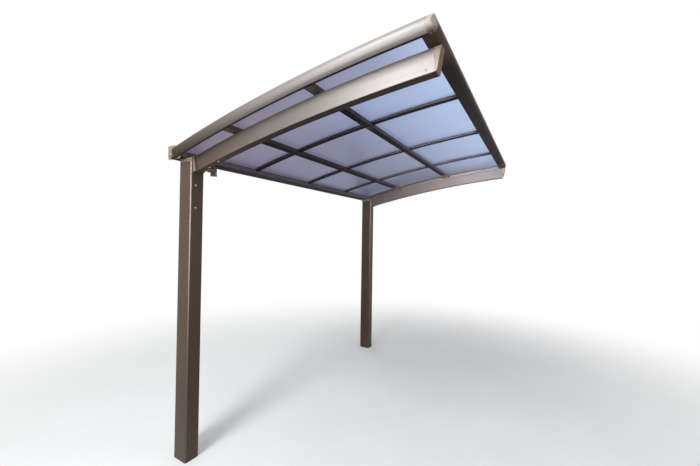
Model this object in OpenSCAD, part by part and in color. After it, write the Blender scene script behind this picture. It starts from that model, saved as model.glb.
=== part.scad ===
// Cantilever cycle port: two posts beside a wall carry two arched beams and a
// clear arched roof. X points away from the wall, Y runs along it, Z is up.
// The origin is the middle of the near post's foot face, at ground level.

/* [Posts] */
// distance between the middles of the two posts, along the wall
post_spacing = 2640; // [2200:20:3000]
// height of the posts with their caps
post_height = 2076; // [1900:10:2400]
// size of a post across the wall
post_depth = 136; // [120:2:150]
// size of a post along the wall
post_width = 98; // [84:1:110]
// wall thickness of the post tube
post_wall = 3; // [2.5:0.5:4]
// rounding of the post's upright corners
post_corner = 10; // [6:1:12]
// height of the cap on a post
cap_height = 27; // [20:1:35]

/* [Beams] */
// reach of a beam from the post face to the underside of its tip
beam_reach = 1666; // [1500:2:1800]
// depth of a beam
beam_depth = 107; // [100:1:115]
// width of a beam
beam_width = 52; // [48:1:58]
// wall thickness of a beam
beam_wall = 3; // [2.5:0.5:4]
// rounding of the beam's long edges
beam_corner = 5; // [3:1:8]
// radius of the arch, at the underside of the beams
arch_radius = 10075; // [9000:25:11000]
// slope of the arch at the post face, in degrees
arch_slope = 13.86; // [12:0.02:15]
// height of the post top above the beam's underside, at the post face
beam_drop = 101; // [98:1:106]

/* [Roof] */
// overhang of the roof past the middle of each post, to the inside of the side frame
side_reach = 82; // [74:1:90]
// depth of the side and front frames
frame_depth = 72; // [68:1:76]
// how far the outer face of a frame bulges past its inner face
frame_belly = 34; // [30:1:38]
// wall thickness of the frames
frame_wall = 2.5; // [2:0.25:3]
// width of the front frame's flat underside
front_soffit = 50; // [46:1:54]
// height of the brackets between a beam and the purlins
cleat_height = 21; // [18:1:26]
// height of a purlin
purlin_height = 31; // [28:1:34]
// width of a purlin
purlin_width = 46; // [42:1:50]
// width of a rafter
rafter_width = 40; // [36:1:44]
// distance between the middles of two rafters
rafter_pitch = 720; // [700:5:735]
// distance of the inner purlin from the post middle
inner_purlin_x = 456; // [410:2:500]
// distance of the outer purlin from the post middle
outer_purlin_x = 1092; // [1020:2:1150]
// thickness of a roof panel
panel_thick = 2.5; // [2:0.5:3]

/* [Gutter] */
// width of the rear frame, which is the gutter
gutter_width = 144; // [134:2:150]
// distance of the gutter's front lip behind the post middle
gutter_lip_x = 4; // [0:1:12]
// height of the gutter's rear wall
gutter_height = 68; // [60:1:74]
// gap between the post cap and the gutter
gutter_gap = 5; // [3:1:8]
// outside diameter of the downpipe
pipe_d = 42; // [38:1:46]

/* [Hidden] */
$fn = 96;
arc_fn = 256;
tiny = 0.3;
over = 1;
cut_size = 3000;
cut_height = 300;

// arch: centre and angles, measured from straight up
arch_cx = post_depth / 2 + arch_radius * sin(arch_slope);
arch_cz = post_height - beam_drop - arch_radius * cos(arch_slope);
beam_tip_x = post_depth / 2 + beam_reach;

// levels above the beam's underside, square to the arch
cleat_e = beam_depth + tiny;
purlin_e = beam_depth + cleat_height;
purlin_top_e = purlin_e + purlin_height;
rafter_lap = 14;
rafter_wall = 2;
rafter_e = purlin_top_e - rafter_lap;
panel_e = purlin_top_e + tiny;
panel_top_e = panel_e + panel_thick;
cover_e = panel_top_e + tiny;
cover_thick = 5;
frame_drop = 2;
frame_e = purlin_e - frame_drop;

// beam ends
collar_length = 30;
tip_block = 5;
tip_lean = 19;
collar_side = 10;
collar_lip = 3;
end_wall = 4;
cleat_width = 17;
cleat_wall = 4;
cleat_play = 1;
beam_start_x = post_depth / 2 + collar_length;
tiny_turn = tiny / arch_radius * 180 / PI;

// purlins, rafters and panels
purlin_wall = 2;
purlin_edge = 2;
rafter_past_lip = 14;
panel_past_lip = 34;
rafter_start_x = -gutter_lip_x - rafter_past_lip;
panel_start_x = -gutter_lip_x - panel_past_lip;
stem = 6;
cover_width = 34;
panel_slot = 14;
slot_end = 2;
shelf = 2;
front_back = 46;
front_x = beam_tip_x - front_back;

// side and front frames
lip_flat = 15;
belly_rise = frame_depth / 2;
belly_y = (pow(frame_belly, 2) - pow(lip_flat, 2) - pow(belly_rise, 2)) / (2 * (frame_belly - lip_flat));
belly_r = frame_belly - belly_y;
side_start_x = -46;
corner_cut = 22;
corner_plan = 28;
front_belly = front_soffit - lip_flat;

// gutter
gutter_z = post_height + gutter_gap;
gutter_rear_x = -gutter_lip_x - gutter_width;
gutter_wall = 2.5;
corner_length = 43;
corner_round = 24;
corner_drop = 12;
corner_rise = 18;
corner_proud = 4;
corner_return = 50;
return_round = 16;
rail_foot = 8;
bead_r = 3;
bead_out = bead_r - gutter_wall / 2;
lip_top_z = arch_z(-gutter_lip_x - 2 * bead_r, panel_e) - tiny;
outlet_x = -100;
outlet_y = 243;
pipe_wall = 2;
pipe_y = 12;
cup_height = 72;
cup_rim = 9;
arm_rise = 46;
socket_length = 44;
bend_r = 34;
pipe_foot_z = 40;
clip_width = 20;
clip_arm = 16;
clip_wall = 2.5;
clip_zs = [0.2, 0.55, 0.88];

// joint between post and beam
leg_depth = 70;
leg_width = 40;
leg_length = 362;
leg_drop = 4;
arm_height = 56;
arm_length = 290;
arm_e = 22;
slot_play = 1;
bolt_d = 8;
bolt_y = -10;
bolt_drops = [87, 242];
foot_web = 6;

// slope angle of the arch at a distance x, on the level e
function arch_phi(x, e) = asin((arch_cx - x) / (arch_radius + e));

// height of the arch at a distance x, on the level e
function arch_z(x, e) = arch_cz + (arch_radius + e) * cos(arch_phi(x, e));

// place of the n-th rafter line, counted from the near side frame
function rafter_y(n) = post_spacing / 2 + (n - 2) * rafter_pitch;

// Shared shapes.

// rectangle with its lower left corner at the origin and rounded corners
module rounded_rect(w, h, r) {
    translate([r, 0]) square([w - 2 * r, h]);
    translate([0, r]) square([w, h - 2 * r]);
    for (x = [r, w - r], y = [r, h - r])
        translate([x, y]) circle(r);
}

// sweep of a section along the arch: its x is the level e, its y the place along the wall
module arch_run(phi_rear, phi_front) {
    translate([arch_cx, 0, arch_cz])
        rotate([-90, 0, 0])
            rotate([0, 0, -90 - phi_rear])
                rotate_extrude(angle = phi_rear - phi_front, $fn = arc_fn)
                    translate([arch_radius, 0]) children();
}

// straight section along the wall; the child lies in X and Z
module wall_run(y0, y1) {
    translate([0, y1, 0])
        rotate([90, 0, 0])
            linear_extrude(y1 - y0) children();
}

// a plane figure of X and Z, with its x axis along the arch at the distance x and level e
module arch_seat(x, e) {
    translate([x, arch_z(x, e)])
        rotate(arch_phi(x, e)) children();
}

// the far half of the port mirrors the near half
module far_side() {
    translate([0, post_spacing, 0])
        mirror([0, 1, 0]) children();
}

// Posts.

module post_outline(inset) {
    translate([inset - post_depth / 2, inset - post_width / 2])
        rounded_rect(post_depth - 2 * inset, post_width - 2 * inset, post_corner - inset);
}

module post() {
    tube_top = post_height - cap_height;
    difference() {
        linear_extrude(tube_top) post_outline(0);
        translate([0, 0, foot_web]) linear_extrude(tube_top) post_outline(post_wall);
        arm_opening(slot_play);
        for (drop = bolt_drops)
            translate([0, bolt_y, post_height - beam_drop - drop])
                rotate([0, 90, 0]) cylinder(d = bolt_d + slot_play, h = post_depth);
    }
}

module post_cap() {
    difference() {
        translate([0, 0, post_height - cap_height + tiny])
            linear_extrude(cap_height - tiny) post_outline(0);
        translate([0, 0, post_height - cap_height - over])
            linear_extrude(cap_height - end_wall + over) post_outline(post_wall);
        arm_opening(slot_play);
    }
}

// Joint between post and beam.

// room for the arm where it passes through the post's face
module arm_opening(play) {
    translate([post_depth / 2 - 2 * post_wall, 0, 0])
        wall_run(-leg_width / 2 - play, leg_width / 2 + play)
            translate([0, arch_z(post_depth / 2, arm_e) - play - post_wall])
                square([4 * post_wall, arm_height + 2 * play + 2 * post_wall]);
}

module joint_bracket() {
    leg_x = post_depth / 2 - post_wall - tiny;
    leg_top = arch_z(post_depth / 2, arm_e + arm_height) - leg_drop;
    arm_run = arm_length + leg_depth / 2;
    difference() {
        wall_run(-leg_width / 2, leg_width / 2) {
            translate([leg_x - leg_depth, leg_top - leg_length]) square([leg_depth, leg_length]);
            arch_seat(leg_x + (arm_length - leg_depth / 2) / 2, arm_e)
                translate([-arm_run / 2, 0]) square([arm_run, arm_height]);
        }
        for (drop = bolt_drops)
            translate([0, bolt_y, post_height - beam_drop - drop])
                rotate([0, 90, 0]) cylinder(d = bolt_d, h = post_depth);
    }
}

// outline of a beam in the sweep's section: level across, place along the wall up
module beam_outline(inset) {
    translate([inset, inset - beam_width / 2])
        rounded_rect(beam_depth - 2 * inset, beam_width - 2 * inset, beam_corner - inset);
}

// wedge between the upright post face and the beam's square-cut end
module beam_collar() {
    collar_half = beam_width / 2 + collar_side;
    difference() {
        arch_run(arch_phi(0, 0), arch_phi(beam_start_x, 0) + tiny_turn)
            translate([-collar_lip, -collar_half])
                rounded_rect(beam_depth + 2 * collar_lip, 2 * collar_half, beam_corner);
        translate([-cut_size + post_depth / 2 + tiny, -cut_size / 2, 0]) cube(cut_size);
        arch_run(arch_phi(-collar_length, 0), arch_phi(beam_start_x + collar_length, 0))
            translate([arm_e - 2 * slot_play, -leg_width / 2 - slot_play])
                square([arm_height + 4 * slot_play, leg_width + 2 * slot_play]);
    }
}

// Beams.

module beam() {
    difference() {
        arch_run(arch_phi(beam_start_x, 0), arch_phi(beam_tip_x - tip_block, 0)) beam_outline(0);
        arch_run(arch_phi(0, 0), arch_phi(beam_tip_x + collar_length, 0)) beam_inside();
    }
}

module beam_inside() {
    translate([beam_wall, beam_wall - beam_width / 2])
        square([beam_depth - 2 * beam_wall, beam_width - 2 * beam_wall]);
}

// the tip block follows the beam's outline and ends in a face that leans outward
module beam_end() {
    phi_cut = arch_phi(beam_tip_x - tip_block, 0) - tiny_turn;
    foot = [beam_tip_x, arch_z(beam_tip_x, 0)];
    intersection() {
        arch_run(phi_cut, arch_phi(beam_tip_x + 2 * tip_lean, 0)) beam_outline(0);
        wall_run(-beam_width, beam_width)
            polygon([
                [foot[0] - 2 * tip_lean - tip_block, foot[1] - beam_depth],
                foot - [tip_lean, beam_depth],
                foot + [tip_lean, beam_depth],
                foot + [2 * tip_lean, 2 * beam_depth],
                [foot[0] - 2 * tip_lean - tip_block, foot[1] + 2 * beam_depth]
            ]);
    }
}

// Purlins and rafters.

// hollow block between a beam's top and a purlin, along the beam's inner side
module purlin_cleat(x) {
    half_x = purlin_width / 2 - cleat_play;
    inner_y = beam_width / 2 - cleat_play;
    rise = cleat_height - 2 * tiny;
    arch_run(arch_phi(x - half_x, cleat_e), arch_phi(x + half_x, cleat_e))
        difference() {
            translate([cleat_e, inner_y - cleat_width]) square([rise, cleat_width]);
            translate([cleat_e + cleat_wall, inner_y - cleat_width + cleat_wall])
                square([rise - 2 * cleat_wall, cleat_width - 2 * cleat_wall]);
        }
}

// a straight hollow bar along the wall, notched from above where a rafter crosses it
module purlin(x) {
    difference() {
        wall_run(-side_reach + tiny, post_spacing + side_reach - tiny)
            arch_seat(x, purlin_e)
                difference() {
                    translate([-purlin_width / 2, 0])
                        rounded_rect(purlin_width, purlin_height, purlin_edge);
                    translate([purlin_wall - purlin_width / 2, purlin_wall])
                        square([purlin_width - 2 * purlin_wall, purlin_height - 2 * purlin_wall]);
                }
        for (n = [1 : 3])
            rafter_notch(n, x);
    }
}

// room for the n-th rafter in a bar or rail below it, at the distance x
module rafter_notch(n, x) {
    half = rafter_width / 2 + tiny;
    wall_run(rafter_y(n) - half, rafter_y(n) + half)
        arch_seat(x, rafter_e - tiny)
            translate([-purlin_width, 0]) square([2 * purlin_width, purlin_height]);
}

// hollow flange that carries the panel edges, with a stem between them
module rafter(n) {
    translate([0, rafter_y(n), 0])
        arch_run(arch_phi(rafter_start_x, rafter_e), arch_phi(front_x - tiny, rafter_e)) {
            difference() {
                translate([rafter_e, -rafter_width / 2])
                    rounded_rect(rafter_lap, rafter_width, purlin_edge);
                translate([rafter_e + rafter_wall, rafter_wall - rafter_width / 2])
                    square([rafter_lap - 2 * rafter_wall, rafter_width - 2 * rafter_wall]);
            }
            translate([purlin_top_e - rafter_wall / 2, -stem / 2])
                square([rafter_wall / 2 + panel_thick + tiny, stem]);
        }
}

// strip that clips down on the rafter's stem and holds the panel edges
module rafter_cover(n) {
    translate([0, rafter_y(n), 0])
        arch_run(arch_phi(panel_start_x, cover_e), arch_phi(front_x - tiny, cover_e))
            translate([cover_e, -cover_width / 2]) rounded_rect(cover_thick, cover_width, purlin_edge);
}

// Side and front frames.

// bulged section, inner face on y = 0, bottom on x = 0, outside towards +y
module frame_section() {
    intersection() {
        square([frame_depth, frame_belly + over]);
        translate([belly_rise, belly_y]) circle(belly_r);
    }
}

// hollow frame with a slot for the panel edge, held by a shelf on each side
module frame_profile() {
    slot_e = panel_e - frame_e - tiny;
    slot_height = panel_thick + 2 * tiny;
    difference() {
        union() {
            difference() {
                frame_section();
                intersection() {
                    translate([frame_wall, frame_wall])
                        square([frame_depth - 2 * frame_wall, frame_belly]);
                    translate([belly_rise, belly_y]) circle(belly_r - frame_wall);
                }
            }
            intersection() {
                frame_section();
                translate([slot_e - shelf, 0]) square([slot_height + 2 * shelf, panel_slot + shelf]);
            }
        }
        translate([slot_e, -over]) square([slot_height, panel_slot + over]);
    }
}

module side_frame() {
    arch_run(arch_phi(side_start_x, frame_e), arch_phi(front_x + front_soffit - corner_cut, frame_e))
        translate([frame_e, -side_reach]) mirror([0, 1]) frame_profile();
}

// section in X and Z with the inner face at the distance front_x
module front_section() {
    arch_seat(front_x, frame_e)
        translate([front_belly, 0])
            rotate(90) mirror([0, 1]) children();
}

module front_frame() {
    wall_run(-side_reach + tiny, post_spacing + side_reach - tiny)
        difference() {
            front_section() front_outline(0);
            front_section() front_outline(frame_wall);
            front_section()
                translate([panel_e - frame_e - tiny, -front_belly - over])
                    square([panel_thick + 2 * tiny, panel_slot + over]);
        }
}

// bulged front section: the flat underside reaches back to the inner face
module front_outline(inset) {
    intersection() {
        translate([inset, inset - front_belly])
            square([frame_depth - 2 * inset, front_belly + frame_belly + over - inset]);
        union() {
            translate([belly_rise, belly_y]) circle(belly_r - inset);
            translate([inset, inset - front_belly])
                square([frame_depth - 2 * inset, front_belly + belly_y]);
        }
    }
}

// front corner: the side frame's and the front frame's outlines meet in one rounded block
module front_corner() {
    seam_x = front_x + front_soffit - corner_cut;
    intersection() {
        arch_run(arch_phi(seam_x + tiny, frame_e), arch_phi(seam_x + 4 * frame_belly, frame_e))
            translate([frame_e, -side_reach]) mirror([0, 1]) frame_section();
        wall_run(-side_reach - frame_belly - over, -side_reach)
            front_section() front_outline(0);
        translate([front_x + front_belly + frame_belly - frame_wall - cut_size, -side_reach - frame_belly, 0])
            linear_extrude(cut_size) rounded_rect(cut_size, cut_size, corner_plan);
    }
}

// Gutter.

// upright wall of the gutter with a round bead along its top
module bead_wall(x, top) {
    translate([x, gutter_z]) square([gutter_wall, top - gutter_z - bead_r]);
    translate([x + gutter_wall / 2, top - bead_r]) circle(bead_r);
}

// rail under the rear ends of the rafters and panels, notched for the rafters
module rear_rail() {
    difference() {
        wall_run(-side_reach + tiny, post_spacing + side_reach - tiny) {
            bead_wall(-gutter_lip_x - bead_out - gutter_wall, lip_top_z);
            translate([-gutter_lip_x - bead_out - rail_foot, gutter_z]) square([rail_foot, gutter_wall]);
        }
        for (n = [1 : 3])
            rafter_notch(n, -gutter_lip_x - bead_r);
    }
}

module gutter_floor() {
    floor_x = gutter_rear_x + bead_out + gutter_wall;
    difference() {
        wall_run(-side_reach + tiny, post_spacing + side_reach - tiny)
            translate([floor_x, gutter_z])
                square([-gutter_lip_x - bead_out - rail_foot - floor_x, gutter_wall]);
        translate([outlet_x, outlet_y, gutter_z - over])
            cylinder(d = pipe_d - 2 * pipe_wall, h = 4 * gutter_wall);
    }
}

module gutter_back() {
    wall_run(-side_reach + tiny, post_spacing + side_reach - tiny)
        bead_wall(gutter_rear_x + bead_out, gutter_z + gutter_height);
}

// end piece: a cap that carries on the side frame, with a plate that shuts the gutter
module rear_corner() {
    back_x = gutter_rear_x - corner_proud;
    low_z = gutter_z - corner_drop;
    tall = gutter_height + corner_drop + corner_rise;
    lip_x = tiny - gutter_lip_x;
    cap_x = side_start_x - corner_length;
    intersection() {
        arch_run(arch_phi(cap_x - corner_length, frame_e), arch_phi(side_start_x, frame_e) + tiny_turn)
            translate([frame_e, -side_reach]) mirror([0, 1]) frame_section();
        translate([cap_x, -side_reach - frame_belly + frame_wall, low_z])
            linear_extrude(tall) rounded_rect(cut_size, cut_size, corner_round);
    }
    difference() {
        union() {
            wall_run(-side_reach - gutter_wall, -side_reach)
                intersection() {
                    translate([back_x, low_z]) rounded_rect(cut_size, 2 * tall, corner_round);
                    translate([back_x, low_z]) square([lip_x + gutter_wall - back_x, tall]);
                }
            translate([lip_x, -side_reach - over, gutter_z])
                rotate([90, 0, 90])
                    linear_extrude(gutter_wall) return_outline(corner_return, lip_top_z - gutter_z - bead_r);
        }
        frame_end_cut();
    }
}

// plate with its upper far corner rounded
module return_outline(w, h) {
    square([w - return_round, h]);
    square([w, h - return_round]);
    translate([w - return_round, h - return_round]) circle(return_round);
}

// room for the side frame: all that is above its lower edge, in front of its rear end
module frame_end_cut() {
    arch_run(arch_phi(side_start_x, frame_e), 0)
        translate([frame_e - tiny, -cut_height]) square([cut_height, cut_height - side_reach + tiny]);
}

// Roof panels.

module roof_panel(n) {
    edge = panel_slot - slot_end;
    y0 = n == 1 ? -side_reach - edge : rafter_y(n - 1) + stem / 2 + tiny;
    y1 = n == 4 ? post_spacing + side_reach + edge : rafter_y(n) - stem / 2 - tiny;
    arch_run(arch_phi(panel_start_x, panel_e), arch_phi(front_x + edge, panel_e))
        translate([panel_e, y0]) square([panel_thick, y1 - y0]);
}

// Rainwater pipe.

// cup under the gutter: water falls in from above and leaves by a socket towards the post
module gutter_outlet() {
    cup_d = pipe_d + 2 * pipe_wall + 2 * tiny;
    translate([outlet_x, outlet_y, gutter_z - tiny - cup_height])
        difference() {
            union() {
                cylinder(d = cup_d, h = cup_height);
                cylinder(d = cup_d + 2 * pipe_wall, h = cup_rim);
                translate([0, 0, arm_rise]) rotate([90, 0, 0]) cylinder(d = cup_d, h = socket_length);
            }
            translate([0, 0, cup_rim / 2]) cylinder(d = cup_d - 2 * pipe_wall, h = cup_height);
            translate([0, 0, arm_rise]) rotate([90, 0, 0])
                cylinder(d = pipe_d + 2 * tiny, h = socket_length + over);
        }
}

// pipe from the cup's socket to the back of the post, with a bend down
module drain_elbow() {
    arm_z = gutter_z - tiny - cup_height + arm_rise;
    arm_end = outlet_y - pipe_d / 2 - 2 * pipe_wall;
    translate([outlet_x, pipe_y + bend_r, arm_z]) {
        rotate([-90, 0, 0]) pipe_length(arm_end - pipe_y - bend_r);
        translate([0, 0, -bend_r]) rotate([0, -90, 0]) rotate([0, 0, -90]) quarter_bend();
    }
}

module pipe_length(h) {
    difference() {
        cylinder(d = pipe_d, h = h);
        translate([0, 0, -over]) cylinder(d = pipe_d - 2 * pipe_wall, h = h + 2 * over);
    }
}

module quarter_bend() {
    rotate_extrude(angle = 90)
        translate([bend_r, 0]) difference() {
            circle(d = pipe_d);
            circle(d = pipe_d - 2 * pipe_wall);
        }
}

module downpipe() {
    top = gutter_z - 2 * tiny - cup_height + arm_rise - bend_r;
    translate([outlet_x, pipe_y, pipe_foot_z]) pipe_length(top - pipe_foot_z);
}

module pipe_clips() {
    arm_x = outlet_x + pipe_d / 2 + clip_wall / 2;
    for (part = clip_zs)
        translate([0, 0, part * post_height])
            linear_extrude(clip_width) {
                difference() {
                    translate([outlet_x, pipe_y]) circle(d = pipe_d + 2 * clip_wall);
                    translate([outlet_x, pipe_y]) circle(d = pipe_d + 2 * tiny);
                }
                translate([arm_x, pipe_y - clip_arm / 2])
                    square([-post_depth / 2 - tiny - arm_x, clip_arm]);
            }
}

// Parts.

module near_post() { color("#8d8478") post(); }
module far_post() { color("#8d8478") far_side() post(); }
module near_post_cap() { color("#8d8478") post_cap(); }
module far_post_cap() { color("#8d8478") far_side() post_cap(); }
module near_joint_bracket() { color("#77716a") joint_bracket(); }
module far_joint_bracket() { color("#77716a") far_side() joint_bracket(); }
module near_beam_collar() { color("#a39a8d") beam_collar(); }
module far_beam_collar() { color("#a39a8d") far_side() beam_collar(); }
module near_beam() { color("#9a9185") beam(); }
module far_beam() { color("#9a9185") far_side() beam(); }
module near_beam_end() { color("#857b6f") beam_end(); }
module far_beam_end() { color("#857b6f") far_side() beam_end(); }

module purlin_cleats() {
    color("#4b443d")
        for (x = [inner_purlin_x, outer_purlin_x]) {
            purlin_cleat(x);
            far_side() purlin_cleat(x);
        }
}

module inner_purlin() { color("#5a534b") purlin(inner_purlin_x); }
module outer_purlin() { color("#5a534b") purlin(outer_purlin_x); }
module near_rafter() { color("#5a534b") rafter(1); }
module middle_rafter() { color("#5a534b") rafter(2); }
module far_rafter() { color("#5a534b") rafter(3); }
module near_rafter_cover() { color("#8d8478") rafter_cover(1); }
module middle_rafter_cover() { color("#8d8478") rafter_cover(2); }
module far_rafter_cover() { color("#8d8478") rafter_cover(3); }
module near_side_frame() { color("#9a9185") side_frame(); }
module far_side_frame() { color("#9a9185") far_side() side_frame(); }
module near_front_corner() { color("#857b6f") front_corner(); }
module far_front_corner() { color("#857b6f") far_side() front_corner(); }
module near_rear_corner() { color("#a39a8d") rear_corner(); }
module far_rear_corner() { color("#a39a8d") far_side() rear_corner(); }
module roof_panel_1() { color("#a9b7d2", 0.5) roof_panel(1); }
module roof_panel_2() { color("#a9b7d2", 0.5) roof_panel(2); }
module roof_panel_3() { color("#a9b7d2", 0.5) roof_panel(3); }
module roof_panel_4() { color("#a9b7d2", 0.5) roof_panel(4); }

near_post();
far_post();
near_post_cap();
far_post_cap();
near_joint_bracket();
far_joint_bracket();
near_beam_collar();
far_beam_collar();
near_beam();
far_beam();
near_beam_end();
far_beam_end();
purlin_cleats();
inner_purlin();
outer_purlin();
near_rafter();
middle_rafter();
far_rafter();
near_rafter_cover();
middle_rafter_cover();
far_rafter_cover();
near_side_frame();
far_side_frame();
front_frame();
rear_rail();
gutter_floor();
gutter_back();
near_front_corner();
far_front_corner();
near_rear_corner();
far_rear_corner();
roof_panel_1();
roof_panel_2();
roof_panel_3();
roof_panel_4();
gutter_outlet();
drain_elbow();
downpipe();
pipe_clips();
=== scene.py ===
"""Looks of the cantilever cycle port: finishes, fixings, seals, studio light and camera.

Everything is in metres in the part's own frame: X away from the wall, Y along it, Z up,
origin in the middle of the near post's foot. The CAD nodes stay as they are and get
procedural finishes; bolts, screws, seals and washers are built here on top of them.
"""
import math

import bpy
from mathutils import Matrix, Vector


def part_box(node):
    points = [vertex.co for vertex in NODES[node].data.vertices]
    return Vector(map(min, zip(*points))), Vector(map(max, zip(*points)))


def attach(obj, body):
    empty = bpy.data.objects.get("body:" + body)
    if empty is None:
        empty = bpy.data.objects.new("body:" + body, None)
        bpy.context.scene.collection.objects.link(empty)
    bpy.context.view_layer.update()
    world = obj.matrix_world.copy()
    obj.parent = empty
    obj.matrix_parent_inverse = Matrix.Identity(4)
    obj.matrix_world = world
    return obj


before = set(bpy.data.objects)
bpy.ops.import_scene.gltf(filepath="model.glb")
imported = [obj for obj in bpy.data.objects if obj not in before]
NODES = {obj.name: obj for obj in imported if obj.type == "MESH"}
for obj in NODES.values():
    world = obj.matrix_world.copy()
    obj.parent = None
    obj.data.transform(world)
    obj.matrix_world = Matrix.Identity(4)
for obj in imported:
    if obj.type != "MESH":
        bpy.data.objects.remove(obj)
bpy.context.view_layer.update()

# Driving dimensions, repeated from part.scad or read off the frame.
POST_LOW, POST_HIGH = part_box("near_post")
POST_DEPTH = POST_HIGH.x - POST_LOW.x
POST_WIDTH = POST_HIGH.y - POST_LOW.y
POST_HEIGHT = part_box("near_post_cap")[1].z
CAP_HEIGHT = 0.027
POST_CORNER = 0.010
POST_SPACING = (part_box("far_post")[0] - POST_LOW).y
ARCH_RADIUS = 10.075
ARCH_SLOPE = math.radians(13.86)
BEAM_DROP = 0.101
BEAM_DEPTH = 0.107
CLEAT_HEIGHT = 0.021
PURLIN_HEIGHT = 0.031
RAFTER_WIDTH = 0.040
COVER_WIDTH = 0.034
COVER_THICK = 0.005
PANEL_THICK = 0.0025
GAP = 0.0003
SIDE_REACH = 0.082
PURLIN_XS = (0.456, 1.092)
MIDDLE_Y = POST_SPACING / 2

ARCH_X = POST_DEPTH / 2 + ARCH_RADIUS * math.sin(ARCH_SLOPE)
ARCH_Z = POST_HEIGHT - BEAM_DROP - ARCH_RADIUS * math.cos(ARCH_SLOPE)
PANEL_LEVEL = BEAM_DEPTH + CLEAT_HEIGHT + PURLIN_HEIGHT + GAP
COVER_LEVEL = PANEL_LEVEL + PANEL_THICK + GAP
COVER_TOP = COVER_LEVEL + COVER_THICK

# Camera, matched to the photograph's vanishing lines and post heights.
CAMERA_AT = Vector((2.1085, -1.3150, 1.5525))
CAMERA_YAW = math.radians(31.23)
CAMERA_PITCH = math.radians(0.594)
CAMERA_ROLL = math.radians(0.875)
FOCAL_PIXELS = 315.16
PHOTO_WIDTH = 700
SENSOR_WIDTH = 36.0


# Tones.

def srgb(r, g, b):
    """A colour written in 0-255 display values, as the linear values shaders take."""
    def linear(v):
        v /= 255
        return v / 12.92 if v <= 0.04045 else ((v + 0.055) / 1.055) ** 2.4
    return (linear(r), linear(g), linear(b), 1.0)


def scaled(colour, factor):
    """A colour made darker or lighter."""
    return tuple(min(1.0, c * factor) for c in colour[:3]) + (1.0,)


BRONZE = srgb(70, 53, 39)
BRONZE_GLOSS = srgb(64, 47, 35)
# painted shade on the undersides of the bronze members
BRONZE_UNDER_SHADE = srgb(50, 40, 36)
# painted shade at the near half's wall end, for the beams and for the side frames
BEAM_WALL_SHADE = srgb(88, 68, 56)
SIDE_WALL_SHADE = srgb(66, 50, 40)
CAP_TONE = srgb(134, 121, 111)
CORNER_TONE = srgb(134, 123, 115)
# painted shade on the undersides of the caps and front corners
CAP_UNDER_SHADE = srgb(84, 68, 60)
PLATE_TONE = srgb(142, 126, 113)
# painted shade on the undersides of the rear corner plates
PLATE_UNDER_SHADE = srgb(52, 38, 32)
BRACKET_TONE = srgb(80, 71, 66)
INNER_TONE = srgb(74, 68, 76)
# painted shade on the undersides of the rafters, purlins, gutter and brackets
INNER_UNDER_SHADE = srgb(36, 30, 32)
PURLIN_ENDS = srgb(114, 98, 90)
GUTTER_TONE = srgb(122, 112, 122)
FRONT_TONE = srgb(92, 82, 78)
# painted shade on the front frame's underside and lower belly
FRONT_UNDER_SHADE = srgb(44, 38, 38)
FRONT_ENDS = srgb(80, 63, 55)

DUST_TONE = srgb(158, 150, 136)
STAIN_TONE = srgb(96, 84, 72)
SPECK_TONE = srgb(96, 86, 74)
# painted highlight along the posts' rounded corners
CORNER_HIGHLIGHT_TONE = srgb(186, 168, 157)
MUD_TONE = srgb(112, 98, 82)

# The panels' tones by x, painted light that grows lighter and bluer outwards, then what is
# laid over them; the far tone is painted light as well.
PANEL_LIGHT_STOPS = ((-0.05, srgb(122, 116, 142)), (0.75, srgb(136, 138, 167)),
               (1.25, srgb(163, 178, 218)), (1.65, srgb(188, 210, 248)))
PANEL_FAR_LIGHT = srgb(122, 140, 172)
PANEL_EDGE_TONE = srgb(134, 119, 128)
PANEL_FILM_TONE = srgb(150, 140, 150)
PANEL_GRAIN_TONE = srgb(110, 106, 120)

PIPE_TONES = srgb(128, 112, 97), srgb(152, 136, 119)
PIPE_SPECK_TONE = srgb(100, 88, 76)
STEEL_TONE = srgb(205, 203, 198)
DULL_STEEL_TONE = srgb(150, 142, 136)
BRONZE_STEEL_TONE = srgb(132, 120, 106)
TARNISH_TONE = srgb(128, 112, 92)
RUBBER_TONE = srgb(30, 29, 29)
RUBBER_DUST_TONE = srgb(78, 74, 68)
FLOOR_TONES = srgb(228, 228, 227), srgb(232, 232, 231)
FLOOR_UNSEEN_TONE = srgb(150, 148, 145)


# Node helpers.

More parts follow.
